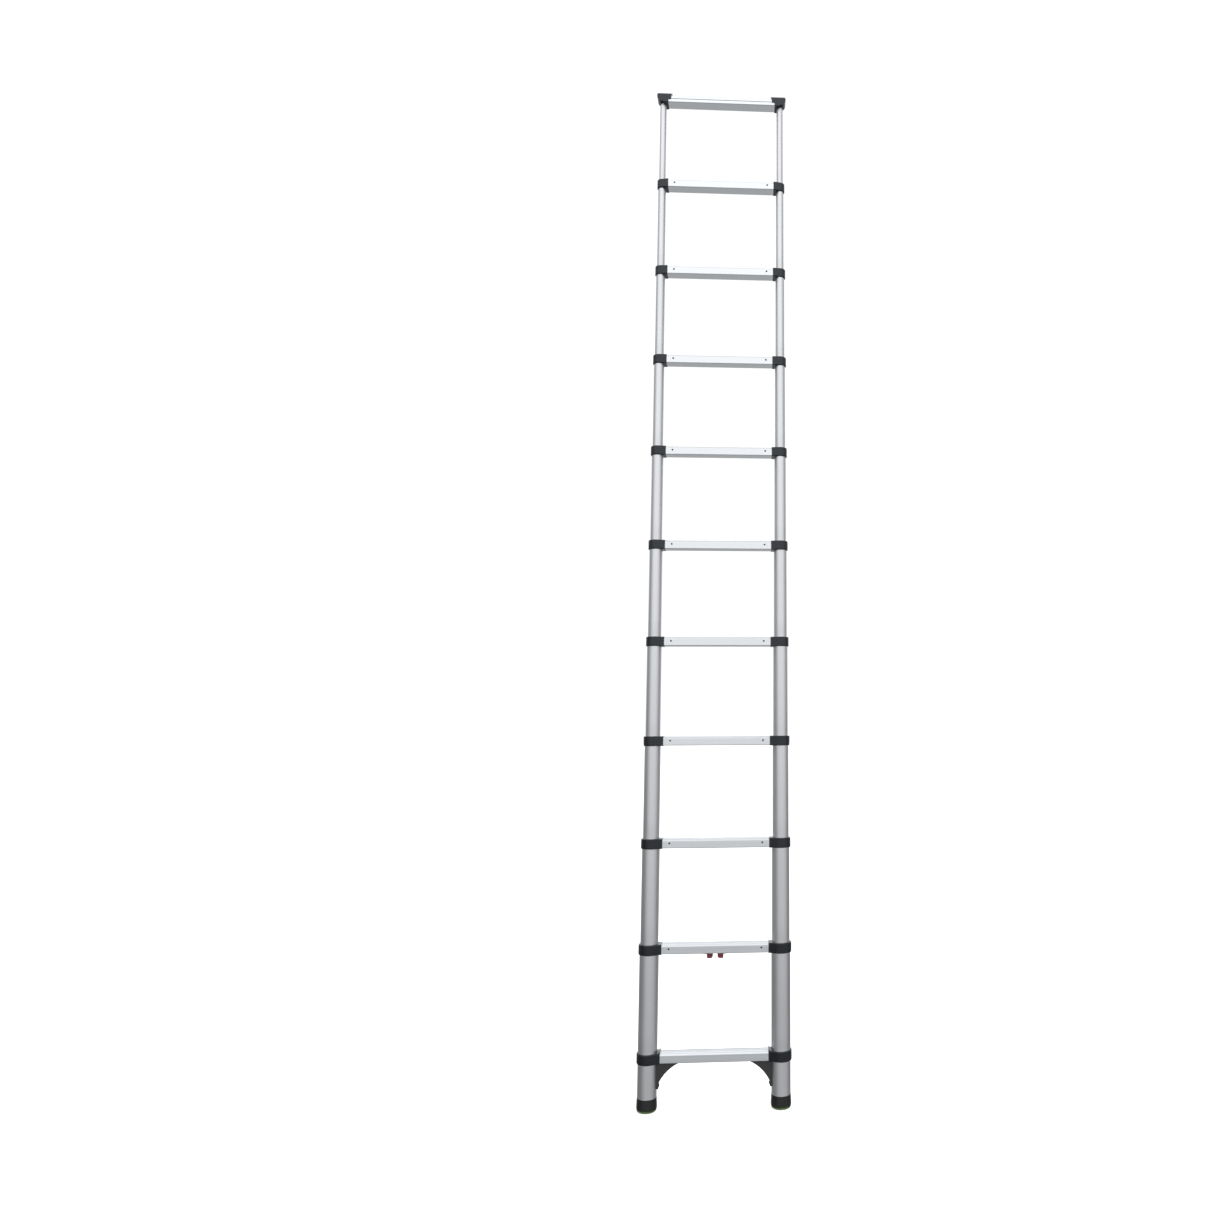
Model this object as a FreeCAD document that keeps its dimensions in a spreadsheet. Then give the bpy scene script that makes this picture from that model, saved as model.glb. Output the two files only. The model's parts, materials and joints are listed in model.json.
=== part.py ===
import FreeCAD, Part
import math
import os
import re
import Sketcher

# A telescopic extension ladder: eleven rungs on two stiles of nested tubes.  Rungs 1 and 2 are fixed
# to the widest pair of tubes.  Rungs 3 to 11 each cap a narrower pair that slides in the pair below.
# Frame: X across the ladder, -Y the front, Z up, the origin on the floor midway between the feet.
# The ladder stands fully extended with its spring locks held back, so every section is free to slide.

SIZES = {
    # the whole ladder
    "stile_spacing": 391.0,
    "first_rung_height": 147.0,
    "rung_pitch": 305.0,
    "stack_gap": 3.0,
    "section_overlap": 70.0,
    # nested tubes
    "base_tube_diameter": 57.0,
    "tube_wall": 1.5,
    "tube_gap": 0.5,
    "plug_flange": 3.0,
    "plug_depth": 12.0,
    "plug_air_hole": 5.0,
    # rungs, hollow extrusions with a grooved tread and a bevelled front edge
    "rung_height": 27.0,
    "rung_depth": 36.0,
    "rung_wall": 1.8,
    "rung_bevel": 5.0,
    "rung_corner": 1.6,
    "groove_width": 2.0,
    "groove_depth": 0.8,
    "groove_pitch": 5.0,
    "groove_margin": 4.0,
    "front_line_height": 11.5,
    "front_line_width": 1.2,
    # collars that join a rung to its two tubes
    "collar_gap": 0.5,
    "collar_wall": 3.5,
    "collar_lip": 2.0,
    "collar_round": 2.4,
    "lip_gap": 0.35,
    "seat_gap": 0.05,
    "boss_reach": 8.7,
    "boss_flat": 4.0,
    "boss_over": 1.5,
    "boss_rise": 3.0,
    "tenon_length": 30.0,
    "tenon_gap": 0.15,
    # rivets that hold the collars in the rungs
    "rivet_offset": 21.0,
    "rivet_rise": 1.5,
    "rivet_head": 5.4,
    "rivet_head_height": 1.0,
    "rivet_shank": 3.4,
    "rivet_length": 8.0,
    "rivet_gap": 0.15,
    # spring locks
    "pin_diameter": 9.0,
    "pin_gap": 0.25,
    "pin_travel": 5.5,
    "pin_setback": 0.3,
    "pin_shoulder": 6.0,
    "pin_chamfer": 1.5,
    "stem_diameter": 4.0,
    "stem_gap": 0.3,
    "stem_end": 3.0,
    "bore_end_wall": 3.0,
    "spring_radius": 3.2,
    "spring_wire": 0.7,
    "spring_pitch": 3.0,
    # release tabs and pull bars of rung 2
    "bar_width": 8.0,
    "bar_thickness": 2.0,
    "bar_drop": 5.0,
    "tab_centre": 16.0,
    "tab_width": 18.0,
    "tab_depth": 24.0,
    "tab_height": 14.0,
    "tab_taper": 4.0,
    "tab_strip": 12.0,
    "tab_strip_thickness": 2.0,
    "tab_neck": 10.0,
    "slide_gap": 0.3,
    # feet
    "boot_height": 38.0,
    "boot_flare": 1.6,
    "boot_skirt": 0.4,
    "boot_plug": 25.0,
    "boot_plug_wall": 3.0,
    "boot_floor": 6.0,
    "sole_thickness": 11.0,
    "sole_seat": 3.0,
    "sole_inset": 0.8,
    "sole_round": 7.0,
    "tread_width": 3.0,
    "tread_depth": 2.0,
    "tread_offset": 9.0,
    # end caps of the top rung
    "knob_radius": 18.0,
    "knob_offset": 2.0,
    "knob_rise": 6.5,
    "dome_radius": 24.0,
    "cap_over": 2.5,
    "cap_round": 9.0,
    "cap_face": 17.4,
    "cap_neck": 1.7,
    "cap_skirt": 1.2,
    "hood_reach": 30.0,
    "hood_slant": 4.5,
    "hood_bottom": 3.0,
    # braces under rung 1
    "brace_run": 62.0,
    "brace_drop": 57.0,
    "brace_toe": 2.0,
    "brace_arc": 120.0,
    "brace_width": 22.0,
    "lug_height": 15.0,
    "lug_thickness": 5.0,
    "screw_head": 8.0,
    "screw_head_height": 2.2,
    "screw_shank": 4.0,
    "screw_reach": 6.0,
    "screw_gap": 0.1,
    "tip_screw": 46.0,
}

FIRST_SECTION = 3
LAST_RUNG = 11
BEVEL_SHIFT = math.sqrt(2) - 1

doc = FreeCAD.newDocument("telescopic_ladder")
sheet = doc.addObject("Spreadsheet::Sheet", "Sheet")
for row, (alias, size) in enumerate(SIZES.items(), start=1):
    sheet.set(f"A{row}", alias)
    sheet.set(f"B{row}", str(size))
    sheet.setAlias(f"B{row}", alias)
doc.recompute()

ALONG_X = FreeCAD.Rotation(FreeCAD.Vector(0, 1, 0), 90)
ALONG_Y = FreeCAD.Rotation(FreeCAD.Vector(1, 0, 0), -90)
UPRIGHT = FreeCAD.Rotation()


# ---------------------------------------------------------------- formulas on the sheet

def formula(text):
    """A formula written with bare size names, as an expression on the sheet."""
    return re.sub(r"[a-z_]+", lambda word: "Sheet." + word[0] if word[0] in SIZES else word[0], text)


def value(text):
    """What a formula comes to now, in millimetres."""
    return float(sheet.evalExpression(formula(text)))


def bind(piece, name, text):
    """Tie one property of an object to a formula."""
    piece.setExpression(name, formula(text))


def place(piece, x="0", y="0", z="0", turn=UPRIGHT):
    """Turn an object and tie its place to three formulas."""
    piece.Placement = FreeCAD.Placement(FreeCAD.Vector(), turn)
    for axis, text in (("x", x), ("y", y), ("z", z)):
        bind(piece, f"Placement.Base.{axis}", text)


def rung_level(rung):
    """Height of a rung's middle above the floor."""
    return f"(first_rung_height + {rung - 1} * rung_pitch)"


def tube_radius(rung):
    """Outer radius of the tubes that a rung is fixed to; rungs 1 and 2 share the base tubes."""
    steps = max(rung - 2, 0)
    return f"(base_tube_diameter / 2 - {steps} * (tube_wall + tube_gap))"


LEFT = "(-stile_spacing / 2)"
CLOSED_PITCH = "(rung_height + stack_gap)"
COLLAR_HALF = f"(({CLOSED_PITCH} - collar_gap) / 2)"
TUBE_TOP = f"({COLLAR_HALF} - collar_lip)"
PIN_AXIS_BORE = "(pin_diameter / 2 + pin_gap)"


# ---------------------------------------------------------------- solids and sketches

def cylinder(name, radius, length, **spot):
    piece = doc.addObject("Part::Cylinder", name)
    bind(piece, "Radius", radius)
    bind(piece, "Height", length)
    place(piece, **spot)
    return piece


def box(name, low, high):
    """A box between two corners, each three formulas."""
    piece = doc.addObject("Part::Box", name)
    for side, a, b in zip(("Length", "Width", "Height"), low, high):
        bind(piece, side, f"({b}) - ({a})")
    place(piece, *low)
    return piece


def cut(name, base, *tools):
    piece = doc.addObject("Part::Cut", name)
    piece.Base = base
    piece.Tool = tools[0] if len(tools) == 1 else group(f"{name}_tools", *tools)
    return piece


def common(name, base, tool):
    """What two pieces share."""
    piece = doc.addObject("Part::Common", name)
    piece.Base = base
    piece.Tool = tool
    return piece


def fuse(name, *pieces):
    piece = doc.addObject("Part::MultiFuse", name)
    piece.Shapes = list(pieces)
    piece.Refine = True
    return piece


def group(name, *pieces):
    piece = doc.addObject("Part::Compound", name)
    piece.Links = list(pieces)
    return piece


def mirror(name, piece):
    """The same piece on the right-hand side."""
    twin = doc.addObject("Part::Mirroring", name)
    twin.Source = piece
    twin.Base = (0, 0, 0)
    twin.Normal = (1, 0, 0)
    return twin


def both_sides(name, *pieces):
    """Left pieces and their right-hand twins in one sub-part."""
    twins = [mirror(f"{piece.Name}_right", piece) for piece in pieces]
    return group(name, *pieces, *twins)


def new_body(name, **spot):
    body = doc.addObject("PartDesign::Body", name)
    place(body, **spot)
    return body


def new_sketch(body, plane, lift="0"):
    """A sketch on one of the body's own origin planes, lifted along that plane's normal."""
    sketch = body.newObject("Sketcher::SketchObject", f"{body.Name}_sketch")
    faces = [feature for feature in body.Origin.OriginFeatures if feature.Role == plane]
    sketch.AttachmentSupport = [(faces[0], "")]
    sketch.MapMode = "FlatFace"
    bind(sketch, "AttachmentOffset.Base.z", lift)
    return sketch


def hold(sketch, kind, edge, end, text):
    """Tie one coordinate of an edge's end to a formula."""
    name = f"{kind[-1].lower()}{edge}_{end}"
    rule = Sketcher.Constraint(kind, -1, 1, edge, end, value(text))
    sketch.renameConstraint(sketch.addConstraint(rule), name)
    bind(sketch, f"Constraints.{name}", text)


def polygon(sketch, corners):
    """A closed outline of straight edges; each corner is a pair of formulas."""
    first = sketch.GeometryCount
    spots = [FreeCAD.Vector(value(x), value(y), 0) for x, y in corners]
    count = len(spots)
    edges = [Part.LineSegment(spots[i], spots[(i + 1) % count]) for i in range(count)]
    sketch.addGeometry(edges, False)
    for i in range(count):
        sketch.addConstraint(Sketcher.Constraint("Coincident", first + i, 2, first + (i + 1) % count, 1))
    for i, (x, y) in enumerate(corners):
        hold(sketch, "DistanceX", first + i, 1, x)
        hold(sketch, "DistanceY", first + i, 1, y)


def pad(body, sketch, length, both_ways=False):
    feature = body.newObject("PartDesign::Pad", f"{body.Name}_pad")
    feature.Profile = sketch
    feature.SideType = "Symmetric" if both_ways else "One side"
    bind(feature, "Length", length)
    return feature


def revolve(body, sketch, axis):
    feature = body.newObject("PartDesign::Revolution", f"{body.Name}_turn")
    feature.Profile = sketch
    feature.ReferenceAxis = (sketch, [axis])
    feature.Angle = 360
    return feature


def soften(body, base, radius, wanted):
    """A fillet on the edges of a feature whose middle point and length pass a test."""
    doc.recompute()
    names = []
    for number, edge in enumerate(base.Shape.Edges, start=1):
        middle = edge.valueAt((edge.FirstParameter + edge.LastParameter) / 2)
        if wanted(edge, middle):
            names.append(f"Edge{number}")
    feature = body.newObject("PartDesign::Fillet", f"{body.Name}_round")
    feature.Base = (base, names)
    bind(feature, "Radius", radius)
    return feature


# ---------------------------------------------------------------- sub-parts

PARTS = []


def finish(name, piece):
    """Name a sub-part; its Label is also its file's name."""
    piece.Label = name
    PARTS.append(piece)
    return piece


def rung_outline(grooved):
    """Outer section of a rung in Y and Z, from the front foot round to the front bevel."""
    corners = [
        ("-rung_depth / 2", "-rung_height / 2"),
        ("rung_depth / 2", "-rung_height / 2"),
        ("rung_depth / 2", "rung_height / 2"),
    ]
    if grooved:
        room = value("rung_depth - rung_bevel - 2 * groove_margin")
        for i in range(int(room / SIZES["groove_pitch"]) + 1):
            middle = f"(rung_depth / 2 - groove_margin - {i} * groove_pitch)"
            corners += [
                (f"{middle} + groove_width / 2", "rung_height / 2"),
                (f"{middle} + groove_width / 2", "rung_height / 2 - groove_depth"),
                (f"{middle} - groove_width / 2", "rung_height / 2 - groove_depth"),
                (f"{middle} - groove_width / 2", "rung_height / 2"),
            ]
    corners += [
        ("-rung_depth / 2 + rung_bevel", "rung_height / 2"),
        ("-rung_depth / 2", "rung_height / 2 - rung_bevel"),
    ]
    return corners


def hollow_outline(wall):
    """The rung's hollow for a wall thickness: the outer section taken in, under the grooves."""
    roof = f"({wall} + groove_depth)"
    return [
        (f"-rung_depth / 2 + {wall}", f"-rung_height / 2 + {wall}"),
        (f"rung_depth / 2 - {wall}", f"-rung_height / 2 + {wall}"),
        (f"rung_depth / 2 - {wall}", f"rung_height / 2 - {roof}"),
        (f"-rung_depth / 2 + rung_bevel - {roof} + {1 + BEVEL_SHIFT} * {wall}", f"rung_height / 2 - {roof}"),
        (f"-rung_depth / 2 + {wall}", f"rung_height / 2 - rung_bevel - {BEVEL_SHIFT} * {wall}"),
    ]


def rung_end(rung):
    """Distance from a stile's axis to the end of its rung."""
    return "cap_face" if rung == LAST_RUNG else f"({tube_radius(rung)} + boss_reach)"


def rivet_spot(rung):
    """Left rivet's place along X."""
    return f"({LEFT} + {rung_end(rung)} + rivet_offset)"


def make_rung(rung):
    """Hollow extrusion along X, with its long outer edges rounded, and its holes."""
    name = f"rung_{rung:02d}"
    body = new_body(f"{name}_body", z=rung_level(rung))
    sketch = new_sketch(body, "YZ_Plane")
    polygon(sketch, rung_outline(grooved=True))
    polygon(sketch, hollow_outline("rung_wall"))
    bar = pad(body, sketch, f"stile_spacing - 2 * {rung_end(rung)}", both_ways=True)
    spots = [(value(y), value(z)) for y, z in rung_outline(grooved=False)]

    def on_corner(edge, middle):
        along = abs(edge.tangentAt(edge.FirstParameter).x) > 0.99
        return along and any(abs(middle.y - y) + abs(middle.z - z) < 0.01 for y, z in spots)

    soften(body, bar, "rung_corner", on_corner)
    holes = []
    if 1 < rung < LAST_RUNG:
        for side, sign in (("left", ""), ("right", "-")):
            holes.append(cylinder(f"{name}_hole_{side}", "rivet_shank / 2 + rivet_gap", "rivet_length",
                                  x=f"{sign}{rivet_spot(rung)}", y="-rung_depth / 2 - 1",
                                  z=f"{rung_level(rung)} + rivet_rise", turn=ALONG_Y))
    if rung == 2:
        for side, sign in (("left", -1), ("right", 1)):
            near = f"{sign} * (tab_centre - tab_neck / 2 - slide_gap)"
            far = f"{sign} * (tab_centre + tab_neck / 2 + pin_travel + slide_gap)"
            low, high = (far, near) if sign < 0 else (near, far)
            holes.append(box(f"{name}_slot_{side}",
                             (low, "-bar_width / 2 - slide_gap", f"{rung_level(2)} - rung_height"),
                             (high, "bar_width / 2 + slide_gap",
                              f"{rung_level(2)} - rung_height / 2 + 2 * rung_wall")))
    if rung == LAST_RUNG:
        line = f"{rung_level(rung)} - rung_height / 2 + front_line_height"
        holes.append(box(f"{name}_line",
                         ("-stile_spacing", "-rung_depth", line),
                         ("stile_spacing", "-rung_depth / 2 + rung_wall / 3", f"{line} + front_line_width")))
    finish(name, cut(name, body, *holes) if holes else body)


def make_stiles(rung):
    """The pair of tubes below a rung.  A plug with an air hole closes the foot of each sliding tube."""
    name = "base_stiles" if rung == 2 else f"stiles_{rung:02d}"
    radius = tube_radius(rung)
    bore = f"({radius} - tube_wall)"
    if rung == 2:
        low = "boot_height"
    else:
        low = f"({rung_level(rung - 1)} + {COLLAR_HALF} - section_overlap)"
    high = f"({rung_level(rung)} + {TUBE_TOP})"
    outside = cylinder(f"{name}_outside", radius, f"{high} - {low}", x=LEFT, z=low)
    tools = [cylinder(f"{name}_bore", bore, f"{high} - {low} + 2", x=LEFT, z=f"{low} - 1")]
    # lock holes face the rungs: one for the pin in this tube's rung, one for the pin below
    if rung < LAST_RUNG:
        tools.append(cylinder(f"{name}_pin_hole", PIN_AXIS_BORE, f"{radius} + 1",
                              x=LEFT, z=rung_level(rung), turn=ALONG_X))
    if rung >= FIRST_SECTION:
        tools.append(cylinder(f"{name}_latch_hole", PIN_AXIS_BORE, f"{radius} + 1",
                              x=LEFT, z=rung_level(rung - 1), turn=ALONG_X))
    pieces = [cut(f"{name}_tube", outside, *tools)]
    if rung >= FIRST_SECTION:
        plug = new_body(f"{name}_plug", x=LEFT, z=low)
        sketch = new_sketch(plug, "XZ_Plane")
        polygon(sketch, [
            ("plug_air_hole / 2", "-plug_flange"),
            (f"{radius} + tube_gap / 2", "-plug_flange"),
            (f"{radius} + tube_gap / 2", "0"),
            (f"{bore} - seat_gap", "0"),
            (f"{bore} - seat_gap", "plug_depth"),
            ("plug_air_hole / 2", "plug_depth"),
        ])
        revolve(plug, sketch, "V_Axis")
        pieces.append(plug)
    finish(name, both_sides(name, *pieces))


def collar_plan(body, rung, half_depth, lift):
    """Plan of a collar: a ring's arc whose two tangents run to a flat-sided boss on the rung side."""
    sketch = new_sketch(body, "XY_Plane", lift)
    ring = f"({tube_radius(rung)} + collar_wall)"
    face = f"({tube_radius(rung)} + boss_reach)"
    corners = [
        (f"{face} - boss_flat", f"-{half_depth}"),
        (face, f"-{half_depth}"),
        (face, half_depth),
        (f"{face} - boss_flat", half_depth),
    ]
    spots = [FreeCAD.Vector(value(x), value(y), 0) for x, y in corners]
    far = spots[3]
    reach = far.Length
    turn = math.degrees(math.acos(value(ring) / reach) + math.atan2(far.y, far.x))
    top = FreeCAD.Vector(value(ring), 0, 0)
    top = FreeCAD.Rotation(FreeCAD.Vector(0, 0, 1), turn).multVec(top)
    low = FreeCAD.Vector(top.x, -top.y, 0)
    circle = Part.Circle(FreeCAD.Vector(), FreeCAD.Vector(0, 0, 1), value(ring))
    start = circle.parameter(top)
    end = circle.parameter(low)
    sketch.addGeometry([
        Part.LineSegment(low, spots[0]),
        Part.LineSegment(spots[0], spots[1]),
        Part.LineSegment(spots[1], spots[2]),
        Part.LineSegment(spots[2], spots[3]),
        Part.LineSegment(spots[3], top),
        Part.ArcOfCircle(circle, start, end),
    ], False)
    for first in range(4):
        sketch.addConstraint(Sketcher.Constraint("Coincident", first, 2, first + 1, 1))
    sketch.addConstraint(Sketcher.Constraint("Coincident", 5, 3, -1, 1))
    name = "ring"
    sketch.renameConstraint(sketch.addConstraint(Sketcher.Constraint("Radius", 5, value(ring))), name)
    bind(sketch, f"Constraints.{name}", ring)
    sketch.addConstraint(Sketcher.Constraint("Tangent", 4, 2, 5, 1))
    sketch.addConstraint(Sketcher.Constraint("Tangent", 5, 2, 0, 1))
    for edge, (x, y) in enumerate(corners):
        hold(sketch, "DistanceX", edge, 2, x)
        hold(sketch, "DistanceY", edge, 2, y)
    return sketch


def make_tenon(name, rung):
    """Block that fills the rung's hollow for a short way, from the rung's end."""
    tenon = new_body(f"{name}_tenon", x=LEFT, z=rung_level(rung))
    sketch = new_sketch(tenon, "YZ_Plane", rung_end(rung))
    polygon(sketch, hollow_outline("(rung_wall + tenon_gap)"))
    pad(tenon, sketch, "tenon_length")
    return tenon


def make_rivet(name, rung):
    """Blind rivet: a round head on the rung's front and a shank into the tenon."""
    body = new_body(name, x=rivet_spot(rung), y="-rung_depth / 2", z=f"{rung_level(rung)} + rivet_rise")
    sketch = new_sketch(body, "XY_Plane")
    polygon(sketch, [
        ("0", "-rivet_head_height"),
        ("rivet_head / 4", "-rivet_head_height"),
        ("rivet_head / 2", "-rivet_head_height / 3"),
        ("rivet_head / 2", "0"),
        ("rivet_shank / 2", "0"),
        ("rivet_shank / 2", "rivet_length"),
        ("0", "rivet_length"),
    ])
    revolve(body, sketch, "V_Axis")
    return body


def make_collars(rung):
    """Two collars that clamp a rung between its tubes, with the rivets through the rung's front."""
    name = f"collars_{rung:02d}"
    radius = tube_radius(rung)
    level = rung_level(rung)
    body = new_body(f"{name}_body", x=LEFT, z=level)
    sketch = collar_plan(body, rung, "(rung_depth / 2 + boss_over)", f"-{COLLAR_HALF}")
    block = pad(body, sketch, f"2 * {COLLAR_HALF}")
    half = value(COLLAR_HALF)
    face = value(f"{radius} + boss_reach")

    def on_rim(edge, middle):
        return abs(abs(middle.z) - half) < 0.01 and abs(middle.x - face) > 0.01

    soften(body, block, "collar_round", on_rim)
    solids = [body, make_tenon(name, rung)]
    if rung == 1:
        solids.append(box(f"{name}_rise",
                          (f"{LEFT} + {radius} + boss_reach - boss_flat", "-rung_depth / 2", level),
                          (f"{LEFT} + {radius} + boss_reach", "rung_depth / 2",
                           f"{level} + {COLLAR_HALF} + boss_rise")))
    block = fuse(f"{name}_block", *solids)
    if rung == 1:
        tools = [cylinder(f"{name}_bore", f"{radius} + seat_gap", f"2 * {CLOSED_PITCH}",
                          x=LEFT, z=f"{level} - {CLOSED_PITCH}")]
        finish(name, both_sides(name, cut(f"{name}_collar", block, *tools)))
        return
    inner = tube_radius(rung + 1)
    tools = [
        cylinder(f"{name}_bore", f"{radius} + seat_gap", f"{TUBE_TOP} + {CLOSED_PITCH}",
                 x=LEFT, z=f"{level} - {CLOSED_PITCH}"),
        cylinder(f"{name}_mouth", f"{inner} + lip_gap", CLOSED_PITCH, x=LEFT, z=level),
        cylinder(f"{name}_pin_bore", PIN_AXIS_BORE,
                 f"{radius} + boss_reach + tenon_length - bore_end_wall", x=LEFT, z=level, turn=ALONG_X),
        cylinder(f"{name}_stem_bore", "stem_diameter / 2 + stem_gap",
                 f"{radius} + boss_reach + tenon_length + 1", x=LEFT, z=level, turn=ALONG_X),
        cylinder(f"{name}_rivet_hole", "rivet_shank / 2", "rivet_length + 1",
                 x=rivet_spot(rung), y="-rung_depth / 2", z=f"{level} + rivet_rise", turn=ALONG_Y),
    ]
    collar = cut(f"{name}_collar", block, *tools)
    finish(name, both_sides(name, collar, make_rivet(f"{name}_rivet", rung)))


def make_lock_pins(rung):
    """Spring lock pins in a rung's two ends, shown drawn back.  Rung 2's carry the pull bars."""
    level = rung_level(rung)
    radius = tube_radius(rung)
    body = new_body(f"lock_pin_{rung:02d}_body", x=LEFT, z=level)
    sketch = new_sketch(body, "XZ_Plane")
    tip = f"({radius} - tube_wall + pin_setback)"
    shoulder = f"({radius} + boss_reach + pin_shoulder)"
    tail = f"({radius} + boss_reach + tenon_length + pin_travel + stem_end)"
    polygon(sketch, [
        (tip, "0"),
        (tip, "pin_diameter / 2 - pin_chamfer"),
        (f"{tip} + pin_chamfer", "pin_diameter / 2"),
        (shoulder, "pin_diameter / 2"),
        (shoulder, "stem_diameter / 2"),
        (tail, "stem_diameter / 2"),
        (tail, "0"),
    ])
    revolve(body, sketch, "H_Axis")
    pin = body
    if rung == 2:
        foot = f"{level} - bar_drop - bar_thickness"
        post = box("pull_bar_post",
                   (f"{LEFT} + {tail} - bar_thickness", "-bar_width / 2", foot),
                   (f"{LEFT} + {tail}", "bar_width / 2", f"{level} + bar_width / 2"))
        bar = box("pull_bar",
                  (f"{LEFT} + {tail} - bar_thickness", "-bar_width / 2", foot),
                  ("-tab_centre + tab_neck / 2", "bar_width / 2", f"{foot} + bar_thickness"))
        pin = fuse("lock_pin_02", body, post, bar)
    finish(f"left_lock_pin_{rung:02d}", pin)
    finish(f"right_lock_pin_{rung:02d}", mirror(f"right_lock_pin_{rung:02d}", pin))


def make_release_tabs():
    """Red finger tabs under rung 2.  Each has a neck through the rung's slot and a thin side strip."""
    level = rung_level(2)
    top = f"({level} - rung_height / 2 - slide_gap)"
    body = new_body("release_tab_body", y="-tab_depth / 2", z=top)
    sketch = new_sketch(body, "XZ_Plane")
    outer = "(-tab_centre - tab_width / 2)"
    inner = "(-tab_centre + tab_width / 2)"
    polygon(sketch, [
        (f"{outer} - tab_strip", "0"),
        (f"{outer} - tab_strip", "-tab_strip_thickness / 2"),
        (outer, "-tab_strip_thickness"),
        (f"{outer} + tab_taper / 4", "-tab_height"),
        (f"{inner} - tab_taper", "-tab_height"),
        (inner, "-tab_height + tab_taper"),
        (inner, "0"),
    ])
    slab = pad(body, sketch, "tab_depth")
    slab.Reversed = True
    spots = [value(f"{outer} + tab_taper / 4"), value(f"{inner} - tab_taper"), value(inner)]

    def on_grip(edge, middle):
        along = abs(edge.tangentAt(edge.FirstParameter).y) > 0.99
        return along and middle.z < -1 and any(abs(middle.x - x) < 0.01 for x in spots)

    soften(body, slab, "tab_taper / 3", on_grip)
    neck = box("release_tab_neck",
               ("-tab_centre - tab_neck / 2", "-bar_width / 2", f"{top} - tab_strip_thickness"),
               ("-tab_centre + tab_neck / 2", "bar_width / 2", f"{level} - bar_drop - bar_thickness"))
    tab = fuse("release_tab", body, neck)
    finish("left_release_tab", tab)
    finish("right_release_tab", mirror("right_release_tab", tab))


def make_release_springs():
    """Compression springs behind rung 2's lock pins, closed up because the pins are drawn back."""
    radius = tube_radius(2)
    start = f"({radius} + boss_reach + pin_shoulder + spring_wire)"
    end = f"({radius} + boss_reach + tenon_length - bore_end_wall - spring_wire)"
    path = doc.addObject("Part::Helix", "spring_path")
    path.Placement.Rotation = ALONG_X
    bind(path, "Pitch", "spring_pitch")
    bind(path, "Height", f"{end} - {start}")
    bind(path, "Radius", "spring_radius")
    place(path, x=f"{LEFT} + {start}", z=rung_level(2), turn=ALONG_X)
    wire = doc.addObject("Part::Circle", "spring_wire_section")
    bind(wire, "Radius", "spring_wire / 2")
    # the helix starts straight below its axis, where its section faces the front
    place(wire, x=f"{LEFT} + {start}", z=f"{rung_level(2)} - spring_radius", turn=ALONG_Y)
    coil = doc.addObject("Part::Sweep", "release_spring")
    doc.recompute()
    coil.Sections = [wire]
    coil.Spine = (path, [f"Edge{number + 1}" for number in range(len(path.Shape.Edges))])
    coil.Solid = True
    coil.Frenet = True
    finish("release_springs", both_sides("release_springs", coil))


def make_feet():
    """Moulded boots that plug into the base tubes, and the round soles let into them."""
    radius = tube_radius(2)
    bore = f"({radius} - tube_wall)"
    foot = f"({radius} + boot_flare)"
    boot = new_body("foot_boot", x=LEFT)
    sketch = new_sketch(boot, "XZ_Plane")
    polygon(sketch, [
        ("0", "sole_thickness + sole_seat"),
        (f"{foot} - sole_inset - boot_plug_wall", "sole_thickness + sole_seat"),
        (f"{foot} - sole_inset - boot_plug_wall", "sole_thickness"),
        (foot, "sole_thickness"),
        (f"{radius} + boot_skirt", "boot_height"),
        (f"{bore} - seat_gap", "boot_height"),
        (f"{bore} - seat_gap", "boot_height + boot_plug"),
        (f"{bore} - boot_plug_wall", "boot_height + boot_plug"),
        (f"{bore} - boot_plug_wall", "sole_thickness + sole_seat + boot_floor"),
        ("0", "sole_thickness + sole_seat + boot_floor"),
    ])
    revolve(boot, sketch, "V_Axis")
    finish("foot_boots", both_sides("foot_boots", boot))

    sole = new_body("foot_sole_body", x=LEFT)
    sketch = new_sketch(sole, "XZ_Plane")
    polygon(sketch, [
        ("0", "0"),
        (f"{foot} - sole_inset", "0"),
        (f"{foot} - sole_inset", "sole_thickness"),
        (f"{foot} - sole_inset - boot_plug_wall - seat_gap", "sole_thickness"),
        (f"{foot} - sole_inset - boot_plug_wall - seat_gap", "sole_thickness + sole_seat"),
        ("0", "sole_thickness + sole_seat"),
    ])
    turned = revolve(sole, sketch, "V_Axis")
    soften(sole, turned, "sole_round", lambda edge, middle: edge.Length > 1 and middle.z < 0.01)
    grooves = []
    for number, offset in enumerate(("-tread_offset", "tread_offset")):
        grooves.append(box(f"sole_groove_{number}",
                           (f"{LEFT} - 2 * {foot}", f"{offset} - tread_width / 2", "-1"),
                           (f"{LEFT} + 2 * {foot}", f"{offset} + tread_width / 2", "tread_depth")))
    grooves.append(box("sole_groove_across",
                       (f"{LEFT} - tread_width / 2", f"-2 * {foot}", "-1"),
                       (f"{LEFT} + tread_width / 2", f"2 * {foot}", "tread_depth")))
    finish("foot_soles", both_sides("foot_soles", cut("foot_sole", sole, *grooves)))


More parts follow.
